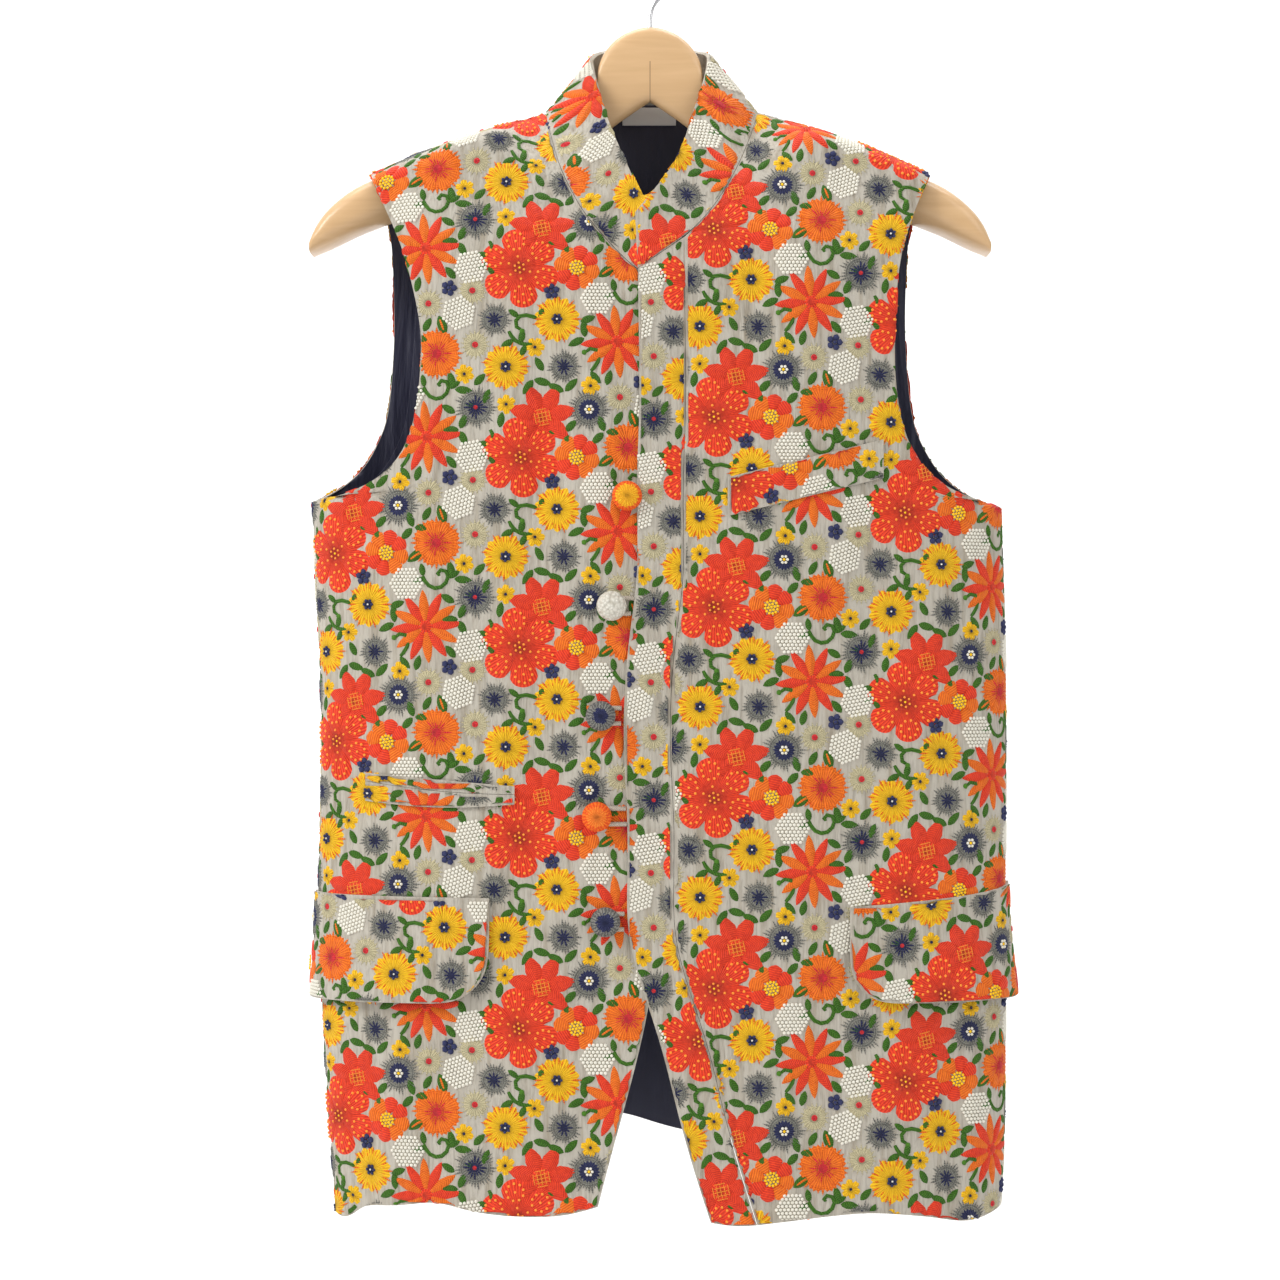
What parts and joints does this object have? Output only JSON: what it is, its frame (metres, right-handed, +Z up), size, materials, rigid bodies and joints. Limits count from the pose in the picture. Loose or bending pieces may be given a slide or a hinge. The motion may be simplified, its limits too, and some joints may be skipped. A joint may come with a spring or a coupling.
{
  "type": "long waistcoat on a hanger",
  "caption": "Long sleeveless waistcoat with a stand collar, an overlapping buttoned front and flap pockets, hung on a wooden hanger.",
  "frame": {"origin": "the point inside the top of the hook, where it hangs on a rail", "axes": "+Z up along the hook's stem, the fronts face -Y, +X to the right seen from the front"},
  "size_m": [0.4709, 0.1154, 0.851],
  "materials": {
    "embroidered_cloth": "crinkled linen-like cloth, embroidered all over with flowers",
    "lining_satin": "navy satin",
    "label_cloth": "plain woven label",
    "button_orange": "covered with stitched cloth",
    "button_cream": "covered with stitched cloth",
    "button_navy": "covered with stitched cloth",
    "button_red": "covered with stitched cloth",
    "button_grey": "covered with stitched cloth",
    "loop_cord": "beige cloth cord",
    "varnished_wood": "clear satin varnish",
    "hook_steel": "plated wire"
  },
  "bodies": {
    "root": {"front_right": "embroidered_cloth", "front_left": "embroidered_cloth", "front_band": "embroidered_cloth", "back": "embroidered_cloth", "back_lining": "lining_satin", "collar": "embroidered_cloth", "chest_welt": "embroidered_cloth", "ticket_jet_upper": "embroidered_cloth", "ticket_jet_lower": "embroidered_cloth", "flap_right": "embroidered_cloth", "flap_left": "embroidered_cloth", "neck_label": "label_cloth", "button_1": "button_orange", "button_2": "button_cream", "button_3": "button_navy", "button_4": "button_red", "button_5": "button_grey", "loop_1": "loop_cord", "loop_2": "loop_cord", "loop_3": "loop_cord", "loop_4": "loop_cord", "loop_5": "loop_cord", "hanger": "varnished_wood", "hanger_hook": "hook_steel"}
  },
  "joints": []
}
